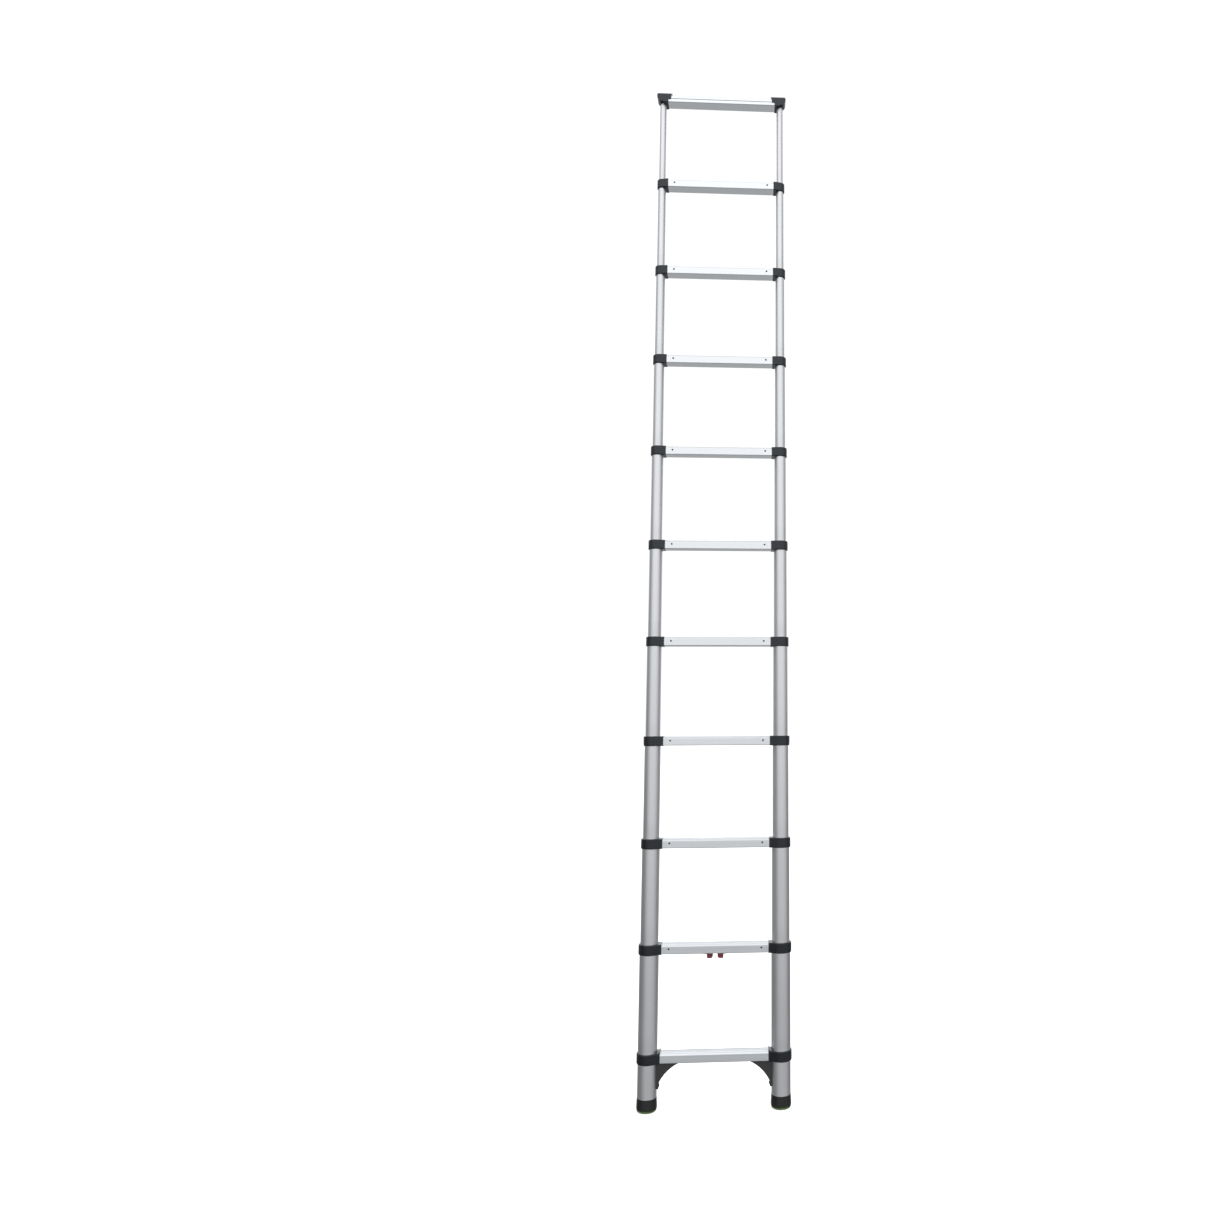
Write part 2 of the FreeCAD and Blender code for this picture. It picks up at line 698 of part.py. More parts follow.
def make_end_caps():
    """Caps of the top rung: a knob across the stile, a hood over the rung's end, and the tenon."""
    rung = LAST_RUNG
    level = rung_level(rung)
    radius = tube_radius(rung)
    half = "(rung_depth / 2 + cap_over)"
    crown = "(knob_rise + knob_radius)"
    body = new_body("end_cap_body", x=LEFT, z=level)
    sketch = new_sketch(body, "XZ_Plane")
    polygon(sketch, [
        ("-knob_offset", crown),
        ("-knob_offset", "-hood_bottom"),
        ("0", f"-{COLLAR_HALF}"),
        ("cap_face", f"-{COLLAR_HALF} + cap_skirt"),
        ("cap_face", "-hood_bottom"),
        ("hood_reach - hood_slant", "-hood_bottom"),
        ("hood_reach", crown),
    ])
    pad(body, sketch, f"2 * {half}", both_ways=True)
    knob = cylinder("end_cap_knob", "knob_radius", f"2 * {half}",
                    x=f"{LEFT} - knob_offset", y=f"-{half}", z=f"{level} + knob_rise", turn=ALONG_Y)
    rim = doc.addObject("Part::Fillet", "end_cap_knob_round")
    doc.recompute()
    rim.Base = knob
    rim.Edges = [(number, value("cap_round"), value("cap_round")) for number in (1, 3)]
    neck = cylinder("end_cap_neck", f"{radius} + cap_neck", f"{COLLAR_HALF}", x=LEFT,
                    z=f"{level} - {COLLAR_HALF}")
    block = fuse("end_cap_block", body, rim, neck)
    # the top is also round from front to back
    dome = cylinder("end_cap_dome", "dome_radius", "4 * hood_reach", x=f"{LEFT} - 2 * hood_reach",
                    z=f"{level} + {crown} - dome_radius", turn=ALONG_X)
    under = box("end_cap_under_dome",
                (f"{LEFT} - 2 * hood_reach", f"-{half} - 1", f"{level} - 2 * {COLLAR_HALF}"),
                (f"{LEFT} + 2 * hood_reach", f"{half} + 1", f"{level} + {crown} - dome_radius"))
    shell = common("end_cap_shell", block, fuse("end_cap_envelope", dome, under))
    seat = new_body("end_cap_seat", x=LEFT, z=level)
    sketch = new_sketch(seat, "YZ_Plane", "cap_face")
    polygon(sketch, [
        ("-rung_depth / 2 - seat_gap", "-rung_height"),
        ("rung_depth / 2 + seat_gap", "-rung_height"),
        ("rung_depth / 2 + seat_gap", "rung_height / 2 + seat_gap"),
        ("-rung_depth / 2 + rung_bevel - seat_gap", "rung_height / 2 + seat_gap"),
        ("-rung_depth / 2 - seat_gap", "rung_height / 2 - rung_bevel + seat_gap"),
    ])
    pad(seat, sketch, "hood_reach")
    bore = cylinder("end_cap_bore", f"{radius} + seat_gap", f"{TUBE_TOP} + {CLOSED_PITCH}",
                    x=LEFT, z=f"{level} - {CLOSED_PITCH}")
    cap = fuse("end_cap_with_tenon", cut("end_cap_open", shell, seat, bore), make_tenon("end_cap", rung))
    finish("end_caps", both_sides("end_caps", cap))


def make_braces():
    """Curved webs in the corners under rung 1, and the screws of each: one sideways, one upwards."""
    level = rung_level(1)
    radius = tube_radius(1)
    body = new_body("brace_body", x=LEFT, z=level)
    sketch = new_sketch(body, "XZ_Plane")
    under_rung = "(-rung_height / 2)"
    bottom = f"({under_rung} - brace_drop)"
    corners = [
        ("0", f"-{COLLAR_HALF}"),
        ("0", f"{bottom} - lug_height"),
        (f"{radius} + lug_thickness", f"{bottom} - lug_height"),
        (f"{radius} + lug_thickness", bottom),
        (f"{radius} + brace_run", f"{under_rung} - brace_toe"),
        (f"{radius} + brace_run", under_rung),
        (f"{radius} + boss_reach", under_rung),
        (f"{radius} + boss_reach", f"-{COLLAR_HALF}"),
    ]
    spots = [FreeCAD.Vector(value(x), value(y), 0) for x, y in corners]
    count = len(spots)
    # the fourth edge is the hollow curve between the lug and the tip; its centre is out in the open
    low = spots[3]
    high = spots[4]
    chord = high - low
    bow = value("brace_arc")
    away = FreeCAD.Vector(chord.y, -chord.x, 0).normalize()
    centre = (low + high) * 0.5 + away * math.sqrt(bow ** 2 - (chord.Length / 2) ** 2)
    circle = Part.Circle(centre, FreeCAD.Vector(0, 0, 1), bow)
    edges = [Part.LineSegment(spots[i], spots[(i + 1) % count]) for i in range(count)]
    edges[3] = Part.ArcOfCircle(circle, circle.parameter(high), circle.parameter(low))
    sketch.addGeometry(edges, False)
    ends = [(1, 2)] * count
    ends[3] = (2, 1)
    for i in range(count):
        following = (i + 1) % count
        sketch.addConstraint(Sketcher.Constraint("Coincident", i, ends[i][1], following, ends[following][0]))
    sketch.renameConstraint(sketch.addConstraint(Sketcher.Constraint("Radius", 3, bow)), "bow")
    bind(sketch, "Constraints.bow", "brace_arc")
    for i, (x, y) in enumerate(corners):
        hold(sketch, "DistanceX", i, ends[i][0], x)
        hold(sketch, "DistanceY", i, ends[i][0], y)
    pad(body, sketch, "brace_width", both_ways=True)
    side_level = f"({level} + {bottom} - lug_height / 2)"
    tip = f"({LEFT} + {radius} + tip_screw)"
    head_seat = f"({level} - rung_height / 2 - screw_reach)"
    shank_hole = "screw_shank / 2 + screw_gap"
    brace = cut("brace", body,
                cylinder("brace_tube_room", f"{radius} + seat_gap", "4 * brace_drop",
                         x=LEFT, z=f"{level} - 2 * brace_drop"),
                cylinder("brace_side_hole", shank_hole, "2 * base_tube_diameter",
                         x=LEFT, z=side_level, turn=ALONG_X),
                cylinder("brace_tip_hole", shank_hole, "2 * brace_drop", x=tip, z=f"{level} - brace_drop"),
                cylinder("brace_tip_seat", "screw_head / 2 + screw_gap", "brace_drop",
                         x=tip, z=f"{head_seat} - brace_drop"))
    finish("rung_01_braces", both_sides("rung_01_braces", brace))

    side = fuse("brace_side_screw",
                cylinder("brace_side_head", "screw_head / 2", "screw_head_height",
                         x=f"{LEFT} + {radius} + lug_thickness", z=side_level, turn=ALONG_X),
                cylinder("brace_side_shank", "screw_shank / 2", "lug_thickness - 2 * seat_gap",
                         x=f"{LEFT} + {radius} + 2 * seat_gap", z=side_level, turn=ALONG_X))
    up = fuse("brace_tip_screw",
              cylinder("brace_tip_head", "screw_head / 2", "screw_head_height",
                       x=tip, z=f"{head_seat} - screw_head_height"),
              cylinder("brace_tip_shank", "screw_shank / 2", "screw_reach - 2 * seat_gap",
                       x=tip, z=head_seat))
    finish("brace_screws", both_sides("brace_screws", side, up))


# ---------------------------------------------------------------- the ladder

make_feet()
make_stiles(2)
make_braces()
for number in range(1, LAST_RUNG + 1):
    make_rung(number)
for number in range(1, LAST_RUNG):
    make_collars(number)
make_end_caps()
for number in range(FIRST_SECTION, LAST_RUNG + 1):
    make_stiles(number)
for number in range(2, LAST_RUNG):
    make_lock_pins(number)
make_release_tabs()
make_release_springs()
doc.recompute()

faults = [piece.Label for piece in doc.Objects if {"Invalid", "Error"} & set(piece.State)]
for piece in PARTS:
    if piece.Shape.isNull() or not piece.Shape.isValid() or not piece.Shape.Solids:
        faults.append(piece.Label)
if faults:
    raise RuntimeError(f"these did not build: {sorted(set(faults))}")

os.makedirs("parts", exist_ok=True)
for piece in PARTS:
    piece.Shape.exportStep(f"parts/{piece.Label}.step")
print(f"{len(PARTS)} sub-parts")
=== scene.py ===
import json
import math

import bpy
import numpy as np
from mathutils import Matrix, Vector


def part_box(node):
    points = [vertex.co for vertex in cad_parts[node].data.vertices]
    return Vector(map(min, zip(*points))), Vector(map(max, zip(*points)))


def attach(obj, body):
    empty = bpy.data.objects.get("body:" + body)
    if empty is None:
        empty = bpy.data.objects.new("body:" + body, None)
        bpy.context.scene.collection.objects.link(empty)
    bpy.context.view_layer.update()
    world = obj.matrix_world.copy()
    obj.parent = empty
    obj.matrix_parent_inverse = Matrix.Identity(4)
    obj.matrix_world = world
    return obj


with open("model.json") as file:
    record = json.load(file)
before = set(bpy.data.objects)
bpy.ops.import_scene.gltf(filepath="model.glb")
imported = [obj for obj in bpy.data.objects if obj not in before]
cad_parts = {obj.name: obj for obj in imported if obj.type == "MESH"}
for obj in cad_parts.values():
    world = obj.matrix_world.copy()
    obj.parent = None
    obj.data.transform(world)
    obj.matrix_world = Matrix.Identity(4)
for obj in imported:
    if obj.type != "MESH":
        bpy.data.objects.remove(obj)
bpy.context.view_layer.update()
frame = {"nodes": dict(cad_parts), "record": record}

# Looks for a telescopic ladder: satin tubes and rungs, stippled black collars, green soles and red
# tabs.  Every length is in metres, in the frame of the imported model: X across, -Y front, Z up.

NODES = frame["nodes"]
SLOTS = {part["node"]: part["material_slot"] for part in frame["record"]["subparts"]}


def middle(node):
    """The middle of a node's box."""
    low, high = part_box(node)
    return (low + high) / 2


FIRST_RUNG = middle("rung_01").z
RUNG_PITCH = middle("rung_02").z - FIRST_RUNG
RUNG_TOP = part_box("rung_05")[1].z - middle("rung_05").z
RUNG_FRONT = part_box("rung_05")[0].y
RUNG_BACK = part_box("rung_05")[1].y
# The painted shadow line across the top rung's front stands a little below its middle.
LINE_DROP = 0.0014
TOP_RUNG_LINE = middle("rung_11").z - LINE_DROP


# ---------------------------------------------------------------- shader maths

class Amount:
    """One number over a surface; an expression on amounts adds the Math nodes that work it out."""

    def __init__(self, finish, socket):
        self.finish = finish
        self.socket = socket

    def _math(self, operation, *terms):
        node = self.finish.node("ShaderNodeMath", {"operation": operation}, dict(enumerate(terms)))
        return Amount(self.finish, node.outputs[0])

    def __add__(self, other):
        return self._math("ADD", self, other)

    def __radd__(self, other):
        return self._math("ADD", other, self)

    def __sub__(self, other):
        return self._math("SUBTRACT", self, other)

    def __rsub__(self, other):
        return self._math("SUBTRACT", other, self)

    def __mul__(self, other):
        return self._math("MULTIPLY", self, other)

    def __rmul__(self, other):
        return self._math("MULTIPLY", other, self)

    def __truediv__(self, other):
        return self._math("DIVIDE", self, other)

    def __rtruediv__(self, other):
        return self._math("DIVIDE", other, self)

    def __pow__(self, power):
        return self._math("POWER", self, power)

    def __abs__(self):
        return self._math("ABSOLUTE", self)

    def swing(self, size):
        """The amount's swing about one half, scaled to a size."""
        return (self - 0.5) * size

    def fraction(self):
        return self._math("FRACT", self)

    def wave(self):
        return self._math("SINE", self)

    def rise(self, low, high):
        """0 below low, 1 above high and a smooth step between."""
        node = self.finish.node("ShaderNodeMapRange", {"interpolation_type": "SMOOTHSTEP"},
                                {0: self, 1: low, 2: high, 3: 0.0, 4: 1.0})
        return Amount(self.finish, node.outputs[0])


class Finish:
    """A material made of one Principled shader and the patterns that feed it."""

    def __init__(self, name, world=False):
        if world:
            self.owner = bpy.data.worlds.new(name)
        else:
            self.owner = bpy.data.materials.new(name)
        self.owner.use_nodes = True
        self.tree = self.owner.node_tree
        self.tree.nodes.clear()

    def node(self, kind, settings=None, sockets=None):
        """A node of any type: its settings first, then a value or a link for each named socket."""
        node = self.tree.nodes.new(kind)
        for name, setting in (settings or {}).items():
            setattr(node, name, setting)
        for name, source in (sockets or {}).items():
            socket = node.inputs[name]
            if isinstance(source, Amount):
                source = source.socket
            if isinstance(source, bpy.types.NodeSocket):
                self.tree.links.new(source, socket)
            else:
                socket.default_value = source
        return node

    def place(self):
        """Object coordinates, which start at the ladder's own origin and travel with each piece."""
        return self.node("ShaderNodeTexCoord").outputs["Object"]

    def axes(self):
        parts = self.node("ShaderNodeSeparateXYZ", sockets={0: self.place()})
        return [Amount(self, socket) for socket in parts.outputs]

    def grain(self, scale, stretch=(1, 1, 1), detail=2.0, rough=0.5):
        """Noise of so many grains per metre, drawn out along an axis by a small stretch."""
        spread = self.node("ShaderNodeMapping", sockets={"Vector": self.place(), "Scale": stretch})
        noise = self.node("ShaderNodeTexNoise", sockets={
            "Vector": spread.outputs[0], "Scale": scale, "Detail": detail, "Roughness": rough})
        return Amount(self, noise.outputs["Fac"])

    def mix(self, amount, first, second):
        """A colour between two colours."""
        node = self.node("ShaderNodeMix", {"data_type": "RGBA"}, {"Factor": amount})
        for socket, colour in ((node.inputs[6], first), (node.inputs[7], second)):
            if isinstance(colour, bpy.types.NodeSocket):
                self.tree.links.new(colour, socket)
            else:
                socket.default_value = (*colour, 1)
        return node.outputs[2]

    def ramp(self, amount, stops):
        """A value read off straight lines between stops of (place, value); values may pass 1."""
        node = self.node("ShaderNodeValToRGB", sockets={0: amount})
        for place, _ in stops[1:-1]:
            node.color_ramp.elements.new(place)
        for element, (place, level) in zip(node.color_ramp.elements, stops):
            element.position = place
            element.color = (level, level, level, 1)
        return Amount(self, node.outputs[0])

    def bump(self, height, distance, strength=1.0):
        return self.node("ShaderNodeBump", sockets={
            "Height": height, "Distance": distance, "Strength": strength}).outputs[0]

    def surface(self, colour, roughness, normal, **constants):
        """Closes the material: constants are set on the shader's own sockets."""
        links = {"Base Color": colour, "Roughness": roughness, "Normal": normal}
        links.update({name.replace("_", " "): number for name, number in constants.items()})
        shader = self.node("ShaderNodeBsdfPrincipled", sockets=links)
        self.node("ShaderNodeOutputMaterial", sockets={"Surface": shader.outputs[0]})
        return self.owner


# ---------------------------------------------------------------- finishes

TUBE_DARK, TUBE_LIGHT = (0.56, 0.572, 0.592), (0.825, 0.837, 0.862)
RUNG_DARK, RUNG_LIGHT = (0.61, 0.64, 0.675), (0.90, 0.925, 0.945)
SHADOW_LINE = (0.030, 0.031, 0.034)
SOLE_DARK, SOLE_LIGHT, SOLE_DUST = (0.010, 0.020, 0.005), (0.115, 0.185, 0.065), (0.17, 0.20, 0.14)
TAB_DARK, TAB_LIGHT = (0.060, 0.006, 0.011), (0.135, 0.014, 0.024)
BLUE_SHEEN = (0.87, 0.93, 1.0)

# Where each mark starts and is full, in metres from the face or edge that it follows.
RUB_START, RUB_END = (0.016, 0.024), (0.03, 0.075)
# The tread's crests, and the groove floors that are darkened as painted shade.
TREAD, GROOVE_FLOOR, GROOVE_MOUTH = (-0.0012, -0.0006), (-0.0016, -0.0012), (-0.0007, -0.0002)
# Bands of painted shade on the rungs: the front's hem, the back of the tread and the top rung's
# shadow line.
FRONT_SKIN, HEM_EDGE, BACK_EDGE, LINE_EDGE = (
    (0.0002, 0.0014), (0.0006, 0.0028), (-0.0062, -0.0036), (0.0006, 0.0013))
HEM_SHADE, BACK_SHADE, LINE_SHADE = 0.45, 0.62, 0.97
RIM_WIDTH = 0.0016
# The sole's band of dust at its foot, and its band of painted shade at its top.
SOLE_DUST_TOP, SOLE_SHADE_BAND = (0.0005, 0.006), (0.0045, 0.0105)


def past(face, marks):
    """Two places at given distances from a face."""
    return face + marks[0], face + marks[1]


def from_rung(finish, z):
    """Height above the middle of the nearest rung, from the rungs' even steps."""
    return ((z - FIRST_RUNG) / RUNG_PITCH + 0.5).fraction() * RUNG_PITCH - RUNG_PITCH / 2


def drawn_tube():
    """Satin anodised tube: fine lines drawn along it, faint clouds, rub marks by the collars."""
    finish = Finish("satin_tube")
    z = finish.axes()[2]
    lines = finish.grain(2600, (1, 1, 0.004), 3.0, 0.6)
    streaks = finish.grain(420, (1, 1, 0.006), 2.0, 0.5)
    clouds = finish.grain(9, (1, 1, 0.5), 3.0, 0.55)
    scuffs = finish.grain(160, (1, 1, 0.25), 4.0, 0.7).rise(0.62, 0.75)
    height = from_rung(finish, z)
    rubbed = height.rise(*RUB_START) * (1 - height.rise(*RUB_END)) * clouds
    tone = lines.swing(0.16) + streaks.swing(0.12) + clouds.swing(0.22) + 0.5 - rubbed * 0.25
    colour = finish.mix(tone, TUBE_DARK, TUBE_LIGHT)
    roughness = 0.40 + streaks.swing(0.16) + clouds.swing(0.10) + scuffs * 0.08
    normal = finish.bump(lines + scuffs * 0.4, 0.00003, 0.5)
    return finish.surface(colour, roughness, normal, Metallic=1.0)


def extruded_rung():
    """Satin extrusion: die lines along the rung, worn crests on its tread and painted shade in its
    grooves.
    """
    finish = Finish("satin_rung")
    _, y, z = finish.axes()
    lines = finish.grain(2400, (0.003, 1, 1), 3.0, 0.6)
    streaks = finish.grain(300, (0.006, 1, 1), 2.0, 0.5)
    clouds = finish.grain(14, (0.4, 1, 1), 3.0, 0.55)
    scuffs = finish.grain(220, (0.5, 1, 1), 4.0, 0.7).rise(0.62, 0.74)
    top = from_rung(finish, z) - RUNG_TOP
    tread = top.rise(*TREAD)
    # Painted shade: the groove floors below the tread's crests are darkened, and also made rougher.
    groove = top.rise(*GROOVE_FLOOR) * (1 - top.rise(*GROOVE_MOUTH))
    tone = lines.swing(0.14) + streaks.swing(0.12) + clouds.swing(0.2) + 0.5
    tone = tone - groove * 0.3 + tread * scuffs * 0.2
    colour = finish.mix(tone, RUNG_DARK, RUNG_LIGHT)
    # Painted shade and shadow, mixed towards the dark shadow colour: a hem along the foot of the
    # rung's front, the back of its tread, and a shadow line across the top rung's front.
    front = 1 - y.rise(*past(RUNG_FRONT, FRONT_SKIN))
    painted_hem_shade = front * (1 - (top + 2 * RUNG_TOP).rise(*HEM_EDGE)) * HEM_SHADE
    painted_back_shade = y.rise(*past(RUNG_BACK, BACK_EDGE)) * tread * BACK_SHADE
    line = front * (1 - abs(z - TOP_RUNG_LINE).rise(*LINE_EDGE)) * LINE_SHADE
    colour = finish.mix(painted_hem_shade + painted_back_shade + line, colour, SHADOW_LINE)
    roughness = 0.38 + streaks.swing(0.14) + clouds.swing(0.10) + groove * 0.2 + scuffs * 0.06
    normal = finish.bump(lines + scuffs * tread, 0.00003, 0.5)
    return finish.surface(colour, roughness, normal, Metallic=1.0)


def moulded(name, dark, light, roughness=0.32, grains=1500, edge_height=0.0148,
            sheen=(1, 1, 1)):
    """Moulded nylon with a fine spark-eroded stipple, faint flow clouds and paler worn rims.

    The sheen is the colour of its gloss, a little blue on the collars and caps.
    """
    finish = Finish(name)
    z = finish.axes()[2]
    stipple = finish.grain(grains, detail=2.0, rough=0.6)
    clouds = finish.grain(38, detail=3.0, rough=0.6)
    marks = finish.grain(260, (1, 1, 0.6), 4.0, 0.7).rise(0.58, 0.75)
    rim = abs(from_rung(finish, z)).rise(edge_height - RIM_WIDTH, edge_height)
    tone = stipple.swing(0.5) + clouds.swing(0.5) + 0.3 + marks * 0.3 + rim * marks * 0.5
    colour = finish.mix(tone, dark, light)
    rough = roughness + clouds.swing(0.14) + stipple.swing(0.12) - rim * 0.05
    normal = finish.bump(stipple + marks * 0.2, 0.00010, 0.5)
    return finish.surface(colour, rough, normal,
                          Specular_IOR_Level=0.62, Specular_Tint=(*sheen, 1))


def sole_rubber():
    """Green rubber: dusty near the floor, darkened at its top by painted shade, speckled and dull.
    """
    finish = Finish("green_rubber")
    z = finish.axes()[2]
    speck = finish.grain(900, detail=3.0, rough=0.7)
    clouds = finish.grain(60, detail=3.0, rough=0.6)
    dust = (1 - z.rise(*SOLE_DUST_TOP)) * clouds
    # Painted shade: the top band of the sole, under the boot, is darkened.
    painted_top_shade = z.rise(*SOLE_SHADE_BAND)
    tone = speck.swing(0.5) + clouds - painted_top_shade * 0.9
    colour = finish.mix(tone, SOLE_DARK, SOLE_LIGHT)
    colour = finish.mix(dust * 0.6, colour, SOLE_DUST)
    rough = 0.75 + speck.swing(0.2)
    normal = finish.bump(speck, 0.00018, 0.6)
    return finish.surface(colour, rough, normal, Specular_IOR_Level=0.3)


def tab_plastic():
    """Dark red moulded plastic with a fine grain, a little polished where thumbs press it."""
    finish = Finish("red_tab")
    stipple = finish.grain(1800, detail=2.0, rough=0.6)
    clouds = finish.grain(70, detail=3.0, rough=0.6)
    colour = finish.mix(stipple.swing(0.5) + clouds, TAB_DARK, TAB_LIGHT)
    rough = 0.42 + stipple.swing(0.15) + clouds.swing(0.2)
    normal = finish.bump(stipple, 0.0001, 0.5)
    return finish.surface(colour, rough, normal, Specular_IOR_Level=0.45)


def turned_steel(name, dark, light, roughness, rings=0.00025):
    """Turned steel: fine rings across the ladder's axis, brushed and a little stained."""
    finish = Finish(name)
    x = finish.axes()[0]
    ring = (x * (2 * math.pi / rings)).wave() * 0.5 + 0.5
    clouds = finish.grain(300, detail=3.0, rough=0.6)
    colour = finish.mix(clouds * 0.7 + ring * 0.3, dark, light)
    rough = roughness + clouds.swing(0.2)
    normal = finish.bump(ring + clouds, 0.00001, 0.5)
    return finish.surface(colour, rough, normal, Metallic=1.0)


FINISHES = {
    "tube_aluminium": drawn_tube(),
    "rung_aluminium": extruded_rung(),
    "collar_plastic": moulded("collar_nylon", (0.0003, 0.0005, 0.0012), (0.0030, 0.0037, 0.0060),
                              sheen=BLUE_SHEEN),
    "cap_plastic": moulded("cap_nylon", (0.0004, 0.0006, 0.0012), (0.0036, 0.0042, 0.0062),
                           0.32, 1700, 0.026, BLUE_SHEEN),
    "boot_plastic": moulded("boot_nylon", (0.0006, 0.0006, 0.0007), (0.0034, 0.0034, 0.0036),
                            0.45, 1700, 0.1),
    "brace_plastic": moulded("brace_nylon", (0.0065, 0.0068, 0.0080), (0.020, 0.021, 0.024),
                             0.55, 1500, 0.1),
    "sole_rubber": sole_rubber(),
    "tab_plastic": tab_plastic(),
    "screw_steel": turned_steel("black_steel", (0.02, 0.02, 0.022), (0.07, 0.07, 0.075), 0.38),
    "pin_steel": turned_steel("zinc_steel", (0.42, 0.43, 0.44), (0.72, 0.72, 0.72), 0.28),
    "spring_steel": turned_steel("spring_wire", (0.30, 0.30, 0.31), (0.58, 0.58, 0.58), 0.3,
                                 0.0006),
}

for name, piece in NODES.items():
    piece.data.materials.clear()
    piece.data.materials.append(FINISHES[SLOTS[name]])


# ---------------------------------------------------------------- surfaces worked out on grids

def mesh_piece(name, points, faces, finish, body):
    """A smooth-shaded piece from an array of corners and a list of faces, riding on a body."""
    mesh = bpy.data.meshes.new(name)
    mesh.from_pydata(points.tolist(), [], faces)
    mesh.polygons.foreach_set("use_smooth", np.ones(len(faces), bool))
    mesh.materials.append(finish)
    mesh.update()
    piece = bpy.data.objects.new(name, mesh)
    bpy.context.scene.collection.objects.link(piece)
    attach(piece, body)
    return piece


def turned(profile, centre, steps=32):
    """A closed shape turned about a line along Y.

    The profile is rows of (radius, y).  A corner is (cx + r sin t, cy + y, cz + r cos t) with t
    going once round.  The first and last rows lie on the line, where a fan of triangles closes
    each end.
    """
    radius, along = np.asarray(profile, float).T
    turn = np.arange(steps) * (2 * np.pi / steps)
    x = centre[0] + radius[1:-1, None] * np.sin(turn)
    z = centre[2] + radius[1:-1, None] * np.cos(turn)
    y = centre[1] + np.repeat(along[1:-1, None], steps, axis=1)
    rings = np.stack([x, y, z], axis=2).reshape(-1, 3)
    poles = [[centre[0], centre[1] + end, centre[2]] for end in (along[0], along[-1])]
    points = np.vstack([rings, poles])
    count = len(radius) - 2
    row, col = np.meshgrid(np.arange(count - 1), np.arange(steps), indexing="ij")
    ahead_col = (col + 1) % steps
    sides = np.stack([row * steps + col, row * steps + ahead_col,
                      (row + 1) * steps + ahead_col, (row + 1) * steps + col], axis=2)
    sides = sides.reshape(-1, 4)
    here = np.arange(steps)
    after = (here + 1) % steps
    last = (count - 1) * steps
    near = np.stack([after, here, np.full(steps, count * steps)], axis=1)
    far = np.stack([last + here, last + after, np.full(steps, count * steps + 1)], axis=1)
    return points, sides.tolist() + near.tolist() + far.tolist()


# Blind rivet's head in millimetres of radius and depth: the stem's hollow, then the dome.
RIVET_HEAD = np.array([
    (0, -1.02), (0.72, -1.02), (0.84, -1.40), (1.05, -1.52), (1.45, -1.50), (2.0, -1.28),
    (2.45, -0.90), (2.74, -0.45), (2.82, -0.12), (2.82, 0.02), (0, 0.02)]) / 1000
RIVET_INSET = 0.021
RIVET_RISE = 0.0015


def rivet_heads(rung):
    """Rivet heads near both ends of a rung's front."""
    low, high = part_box(f"rung_{rung:02d}")
    height = (low.z + high.z) / 2 + RIVET_RISE
    points, faces = turned(RIVET_HEAD, (low.x + RIVET_INSET, low.y, height))
    twin, twin_faces = turned(RIVET_HEAD, (high.x - RIVET_INSET, low.y, height))
    faces += [[corner + len(points) for corner in face] for face in twin_faces]
    body = "base" if rung == 2 else f"section_{rung:02d}"
    mesh_piece(f"rivet_heads_{rung:02d}", np.vstack([points, twin]), faces,
               FINISHES["screw_steel"], body)


for rung in range(2, 11):
    rivet_heads(rung)


# ---------------------------------------------------------------- camera, floor and light

YAW, PITCH, ROLL = 0.0589, 0.1324, -0.0044
CAMERA_PLACE = (0.0921, -2.8068, 1.1048)
SENSOR, LENS, SHIFT_ACROSS = 36, 26.71, -0.1595
FAR_END = 200
ahead = Vector((math.sin(YAW) * math.cos(PITCH), math.cos(YAW) * math.cos(PITCH), math.sin(PITCH)))
level_right = Vector((math.cos(YAW), -math.sin(YAW), 0))
level_up = level_right.cross(ahead)
right = level_right * math.cos(ROLL) + level_up * math.sin(ROLL)
up = level_up * math.cos(ROLL) - level_right * math.sin(ROLL)
camera = bpy.data.objects.new("camera", bpy.data.cameras.new("camera"))
camera.data.sensor_width = SENSOR
camera.data.lens = LENS
camera.data.clip_end = FAR_END
camera.data.shift_x = SHIFT_ACROSS
turn = Matrix((right, up, -ahead)).transposed().to_4x4()
camera.matrix_world = Matrix.Translation(CAMERA_PLACE) @ turn
bpy.context.scene.collection.objects.link(camera)
bpy.context.scene.camera = camera
bpy.context.scene.view_settings.view_transform = "Standard"


FLOOR_PAINT = (0.93, 0.93, 0.93, 1)
WHITE = (1, 1, 1, 1)
FLOOR_GLOW, SURROUND = 0.42, 1.05

# Brightness of the studio at heights from 0, straight down, to 1, straight up.
AHEAD_GLOW = [
    (0.0, 0.30), (0.25, 0.40), (0.34, 0.45), (0.39, 0.44), (0.42, 0.51), (0.46, 0.70),
    (0.49, 1.09), (0.51, 1.11), (0.56, 1.18), (0.65, 1.24), (0.775, 1.34), (0.815, 1.5),
    (0.9, 1.5), (0.97, 1.2), (1.0, 1.15)]
BACK_GLOW = [(0.0, 0.46), (0.44, 0.52), (0.49, 0.8), (0.53, 1.2), (0.6, 1.36), (0.68, 1.36),
             (0.9, 1.2), (1.0, 1.0)]
SIDE_GLOW = [(0.0, 0.17), (0.45, 0.21), (0.52, 0.34), (0.66, 0.44), (0.85, 0.6), (1.0, 1.0)]

# The bright side of the studio leans from right of the ladder, low down, to its left, high up.
LEAN_LEVEL, LEAN_RISE, FACING = 0.22, 0.6, 0.96
FRONT_SPREAD, BACK_SPREAD = (0.05, 0.85), (0.45, 1.0)
NO_ZERO = 0.0001


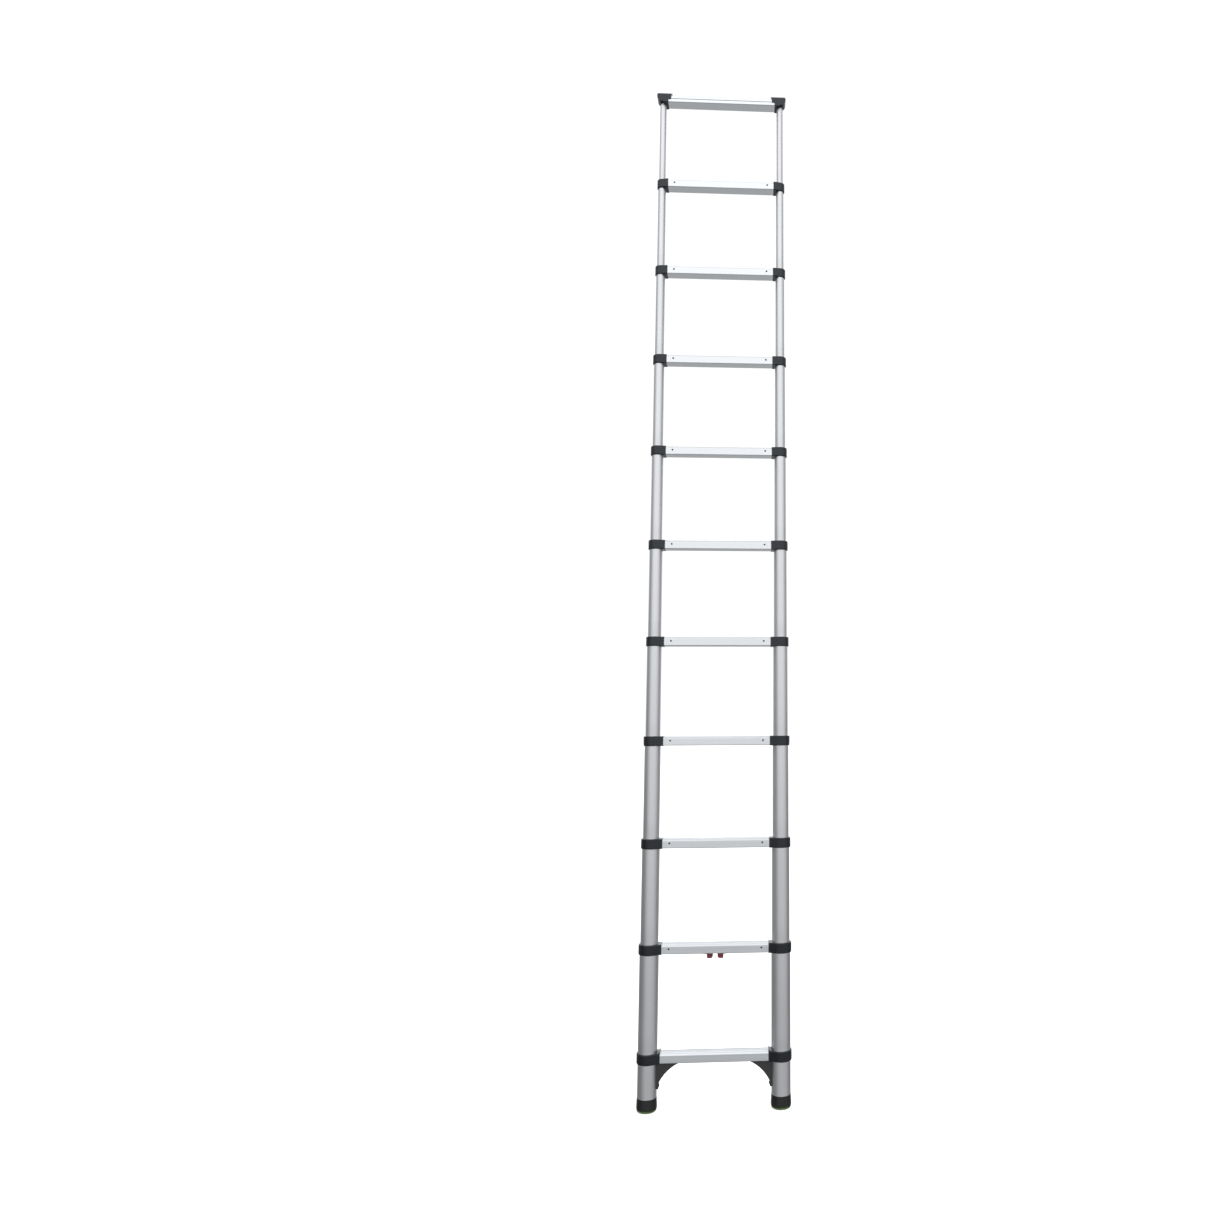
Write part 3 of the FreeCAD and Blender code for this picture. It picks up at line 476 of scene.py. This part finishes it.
def make_floor(radius=60, steps=96):
    """A pale floor: a disc of one ring of corners round its middle, facing up."""
    turn = np.arange(steps) * (2 * np.pi / steps)
    ring = np.stack([radius * np.cos(turn), radius * np.sin(turn), np.zeros(steps)], axis=1)
    points = np.vstack([ring, [[0, 0, 0]]])
    here = np.arange(steps)
    faces = np.stack([here, (here + 1) % steps, np.full(steps, steps)], axis=1)
    mesh = bpy.data.meshes.new("floor")
    mesh.from_pydata(points.tolist(), [], faces.tolist())
    finish = Finish("pale_floor")
    paint = finish.node("ShaderNodeBsdfDiffuse", sockets={"Color": FLOOR_PAINT})
    glow = finish.node("ShaderNodeEmission", sockets={
        "Color": WHITE, "Strength": FLOOR_GLOW})
    both = finish.node("ShaderNodeAddShader", sockets={0: paint.outputs[0], 1: glow.outputs[0]})
    finish.node("ShaderNodeOutputMaterial", sockets={"Surface": both.outputs[0]})
    mesh.materials.append(finish.owner)
    floor = bpy.data.objects.new("floor", mesh)
    floor.visible_glossy = False
    bpy.context.scene.collection.objects.link(floor)


def make_studio():
    """A white surround.  For light and gloss it is bright in front and dim to the sides."""
    studio = Finish("studio", world=True)
    way = studio.node("ShaderNodeTexCoord").outputs["Generated"]
    parts = studio.node("ShaderNodeSeparateXYZ", sockets={0: way})
    x, y, z = [Amount(studio, socket) for socket in parts.outputs]
    across = (x * x + y * y + NO_ZERO) ** 0.5
    lean = LEAN_LEVEL - z * LEAN_RISE
    front = ((x * lean - y * FACING) / across).rise(*FRONT_SPREAD)
    back = (y / across).rise(*BACK_SPREAD)
    height = z * 0.5 + 0.5
    ahead_glow, back_glow, side_glow = [
        studio.ramp(height, stops) for stops in (AHEAD_GLOW, BACK_GLOW, SIDE_GLOW)]
    strength = side_glow + (ahead_glow - side_glow) * front + (back_glow - side_glow) * back
    lit, seen = [
        studio.node("ShaderNodeBackground", sockets={"Color": WHITE, "Strength": level})
        for level in (strength, SURROUND)]
    eye = studio.node("ShaderNodeLightPath").outputs["Is Camera Ray"]
    both = studio.node("ShaderNodeMixShader", sockets={
        0: eye, 1: lit.outputs[0], 2: seen.outputs[0]})
    studio.node("ShaderNodeOutputWorld", sockets={"Surface": both.outputs[0]})
    bpy.context.scene.world = studio.owner


def softbox(name, place, target, size, power):
    """A rectangular lamp at a place, aimed at a target, that shows in no gloss."""
    lamp = bpy.data.lights.new(name, "AREA")
    lamp.shape = "RECTANGLE"
    lamp.size, lamp.size_y = size
    lamp.energy = power
    box = bpy.data.objects.new(name, lamp)
    box.visible_glossy = False
    aim = (Vector(target) - Vector(place)).to_track_quat("-Z", "Y")
    box.matrix_world = Matrix.Translation(place) @ aim.to_matrix().to_4x4()
    bpy.context.scene.collection.objects.link(box)


make_floor()
make_studio()
softbox("key", place=(2.4, -2.6, 4.4), target=(0, 0, 0.6), size=(2.0, 2.0), power=120)
